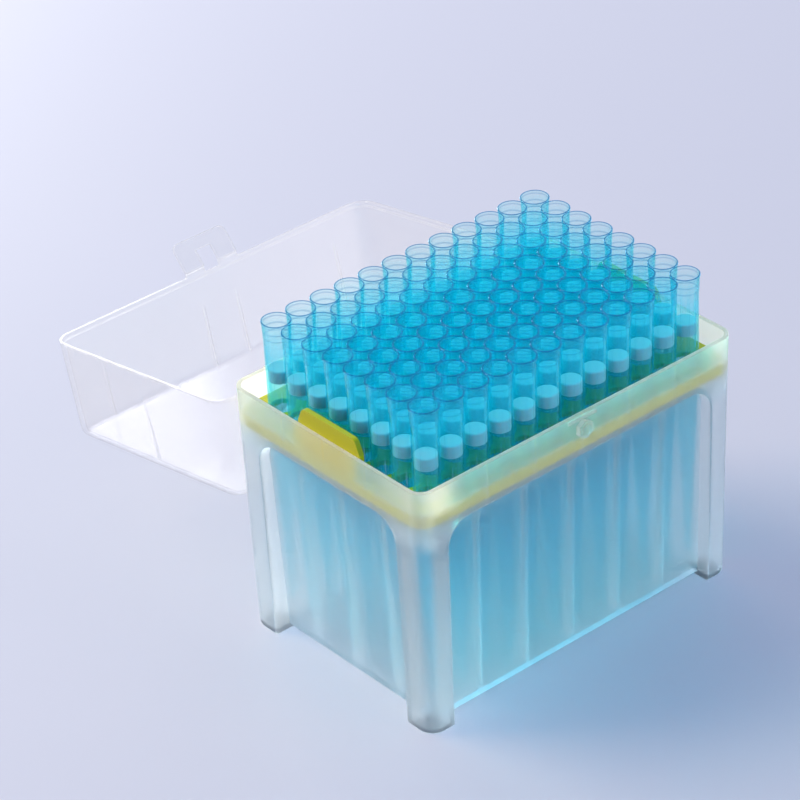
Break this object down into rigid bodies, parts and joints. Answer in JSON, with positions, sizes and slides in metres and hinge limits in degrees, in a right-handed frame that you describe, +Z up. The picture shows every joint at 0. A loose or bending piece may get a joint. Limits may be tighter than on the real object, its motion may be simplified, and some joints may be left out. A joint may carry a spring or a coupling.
{
  "type": "pipette tip box",
  "caption": "Frosted plastic rack box with a hinged clear lid, a yellow plate and a grid of blue filter pipette tips standing in it.",
  "frame": {"origin": "centre of the plane through the four feet, under the middle of the tip grid", "axes": "+X along the long side, +Y from the latch side to the hinge side, +Z up along the tips; the lid is open at rest"},
  "size_m": [0.1234, 0.1784, 0.1037],
  "materials": {
    "frosted_polypropylene": "frosted translucent polypropylene",
    "yellow_polypropylene": "moulded polypropylene, satin",
    "clear_polypropylene": "clear polypropylene",
    "tip_polypropylene": "transparent tinted polypropylene",
    "filter_polyethylene": "sintered porous polyethylene"
  },
  "bodies": {
    "box": {"base": "frosted_polypropylene", "tip_plate": "yellow_polypropylene", "tips_column_01": "tip_polypropylene", "tips_column_02": "tip_polypropylene", "tips_column_03": "tip_polypropylene", "tips_column_04": "tip_polypropylene", "tips_column_05": "tip_polypropylene", "tips_column_06": "tip_polypropylene", "tips_column_07": "tip_polypropylene", "tips_column_08": "tip_polypropylene", "tips_column_09": "tip_polypropylene", "tips_column_10": "tip_polypropylene", "tips_column_11": "tip_polypropylene", "tips_column_12": "tip_polypropylene", "filters_column_01": "filter_polyethylene", "filters_column_02": "filter_polyethylene", "filters_column_03": "filter_polyethylene", "filters_column_04": "filter_polyethylene", "filters_column_05": "filter_polyethylene", "filters_column_06": "filter_polyethylene", "filters_column_07": "filter_polyethylene", "filters_column_08": "filter_polyethylene", "filters_column_09": "filter_polyethylene", "filters_column_10": "filter_polyethylene", "filters_column_11": "filter_polyethylene", "filters_column_12": "filter_polyethylene"},
    "lid": {"lid": "clear_polypropylene"},
    "latch": {"latch_tab": "clear_polypropylene"}
  },
  "joints": [
    {"name": "lid_hinge", "type": "hinge", "parent": "box", "child": "lid", "pos_m": [0, 0.0441, 0.0784], "axis": [1, 0, 0], "range_deg": [0, 189.8]},
    {"name": "latch_hinge", "type": "hinge", "parent": "lid", "child": "latch", "pos_m": [0, 0.12857, 0.06218], "axis": [1, 0, 0], "range_deg": [-70, 33], "stiffness_Nm_per_rad": 0.0004}
  ]
}
